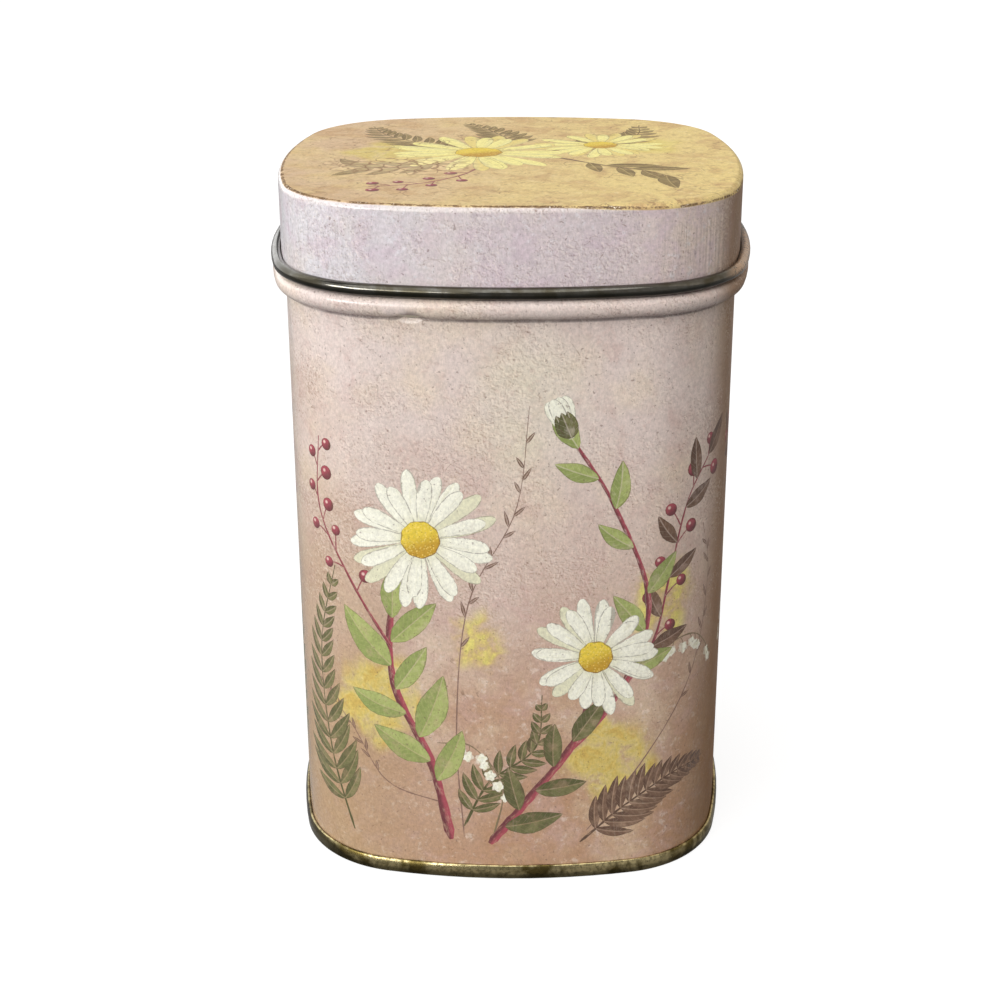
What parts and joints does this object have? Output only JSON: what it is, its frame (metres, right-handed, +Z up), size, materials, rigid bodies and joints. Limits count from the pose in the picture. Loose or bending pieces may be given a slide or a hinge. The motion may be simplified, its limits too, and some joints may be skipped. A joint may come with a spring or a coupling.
{
  "type": "lidded keepsake tin",
  "caption": "Square tin with bowed sides and rounded corners, a slip-on lid with a rolled edge, a stop bead and a double-seamed bottom, for small papers and keepsakes.",
  "frame": {"origin": "on the floor under the middle of the tin", "axes": "+Z up through the lid, -Y towards the viewer of the picture, the lock seam at +Y"},
  "size_m": [0.073, 0.073, 0.1065],
  "materials": {
    "body_print": "printed and lacquered, aged satin",
    "base_lacquer": "tarnished gold lacquer",
    "lid_print": "printed and lacquered, aged satin, worn at the edges"
  },
  "bodies": {
    "tin": {"body": "body_print", "base": "base_lacquer"},
    "lid": {"lid": "lid_print"}
  },
  "joints": [
    {"name": "lid_lift", "type": "slide", "parent": "tin", "child": "lid", "axis": [0, 0, 1], "range_m": [0, 0.03]}
  ]
}
